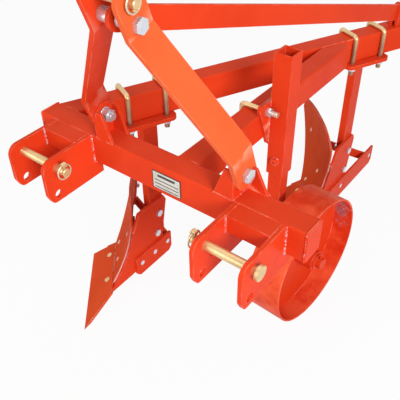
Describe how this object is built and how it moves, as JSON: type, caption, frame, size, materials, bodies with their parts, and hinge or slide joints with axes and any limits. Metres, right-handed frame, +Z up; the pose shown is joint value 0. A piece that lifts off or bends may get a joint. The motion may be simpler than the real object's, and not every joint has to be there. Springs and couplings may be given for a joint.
{
  "type": "two-furrow plough",
  "caption": "Mounted mouldboard plough on a welded tube frame, with a three-point mast and hitch clevises, clamped bodies and a steel depth wheel on a sliding post.",
  "frame": {"origin": "on the ground, below the middle of the whole plough's box", "axes": "+Z up, -Y forward to the tractor, +X to the unploughed land"},
  "size_m": [0.9508, 1.33, 1.1042],
  "materials": {
    "red_paint": "gloss orange-red paint",
    "soil_plate_paint": "gloss orange-red paint on the soil-working plates",
    "yellow_zinc": "yellow passivated zinc",
    "zinc": "bright zinc",
    "spring_steel": "plated spring wire",
    "plate": "bare satin sheet",
    "bronze": "plain bearing bronze"
  },
  "bodies": {
    "frame": {"cross_beam": "red_paint", "main_beam": "red_paint", "brace_beam": "red_paint", "beam_end_caps": "red_paint", "left_clevis_cheeks": "red_paint", "right_clevis_cheeks": "red_paint", "hitch_blocks": "red_paint", "data_plate": "plate", "left_mast_foot": "red_paint", "right_mast_foot": "red_paint", "left_mast_leg": "red_paint", "right_mast_leg": "red_paint", "mast_bolts": "zinc", "mast_nuts": "zinc", "mast_washers": "zinc", "mast_stay": "red_paint", "stay_lugs": "red_paint", "stay_spacers": "zinc", "front_clamp_plate": "red_paint", "rear_clamp_plate": "red_paint", "clamp_u_bolts": "yellow_zinc", "leg_bolts": "zinc", "share_and_board_bolts": "yellow_zinc", "landside_bolts": "zinc", "large_nuts": "zinc", "small_nuts": "zinc", "wheel_sleeve": "red_paint", "hook_bolts": "yellow_zinc", "clamp_screw_nut": "red_paint", "front_leg": "red_paint", "front_frog": "red_paint", "front_board_stay": "red_paint", "front_share": "soil_plate_paint", "front_mouldboard": "soil_plate_paint", "front_landside": "soil_plate_paint", "rear_leg": "red_paint", "rear_frog": "red_paint", "rear_board_stay": "red_paint", "rear_share": "soil_plate_paint", "rear_mouldboard": "soil_plate_paint", "rear_landside": "soil_plate_paint"},
    "wheel_post": {"wheel_post": "red_paint", "wheel_axle": "red_paint", "axle_washer": "red_paint", "axle_cotter": "red_paint"},
    "wheel": {"wheel_rim": "red_paint", "wheel_disc": "red_paint", "wheel_hub": "red_paint", "wheel_bushes": "bronze"},
    "clamp_screw": {"clamp_screw": "red_paint"},
    "left_pin": {"left_hitch_pin": "yellow_zinc", "left_linch_pin": "yellow_zinc"},
    "left_ring": {"left_linch_ring": "spring_steel"},
    "right_pin": {"right_hitch_pin": "yellow_zinc", "right_linch_pin": "yellow_zinc"},
    "right_ring": {"right_linch_ring": "spring_steel"},
    "top_pin": {"top_hitch_pin": "yellow_zinc", "top_linch_pin": "yellow_zinc"},
    "top_ring": {"top_linch_ring": "spring_steel"}
  },
  "joints": [
    {"name": "wheel_height", "type": "slide", "parent": "frame", "child": "wheel_post", "axis": [0, 0, 1], "range_m": [0, 0.2]},
    {"name": "wheel_spin", "type": "hinge", "parent": "wheel_post", "child": "wheel", "pos_m": [0.19276, -0.135, 0.198], "axis": [0.9983, -0.0576, 0], "continuous": true},
    {"name": "clamp_screw_turn", "type": "hinge", "parent": "frame", "child": "clamp_screw", "pos_m": [0.19276, -0.16, 0.5], "axis": [0, 1, 0], "continuous": true},
    {"name": "left_pin_turn", "type": "hinge", "parent": "frame", "child": "left_pin", "pos_m": [0.36211, -0.625, 0.616], "axis": [1, 0, 0], "continuous": true},
    {"name": "left_ring_flip", "type": "hinge", "parent": "left_pin", "child": "left_ring", "pos_m": [0.28061, -0.625, 0.63407], "axis": [0, 1, 0], "range_deg": [0, 150]},
    {"name": "right_pin_turn", "type": "hinge", "parent": "frame", "child": "right_pin", "pos_m": [-0.19139, -0.625, 0.616], "axis": [1, 0, 0], "continuous": true},
    {"name": "right_ring_flip", "type": "hinge", "parent": "right_pin", "child": "right_ring", "pos_m": [-0.10189, -0.625, 0.63407], "axis": [0, -1, 0], "range_deg": [0, 150]},
    {"name": "top_pin_turn", "type": "hinge", "parent": "frame", "child": "top_pin", "pos_m": [0.09236, -0.60838, 1.071], "axis": [1, 0, 0], "continuous": true},
    {"name": "top_ring_flip", "type": "hinge", "parent": "top_pin", "child": "top_ring", "pos_m": [0.15136, -0.60838, 1.08764], "axis": [0, -1, 0], "range_deg": [0, 150]}
  ]
}
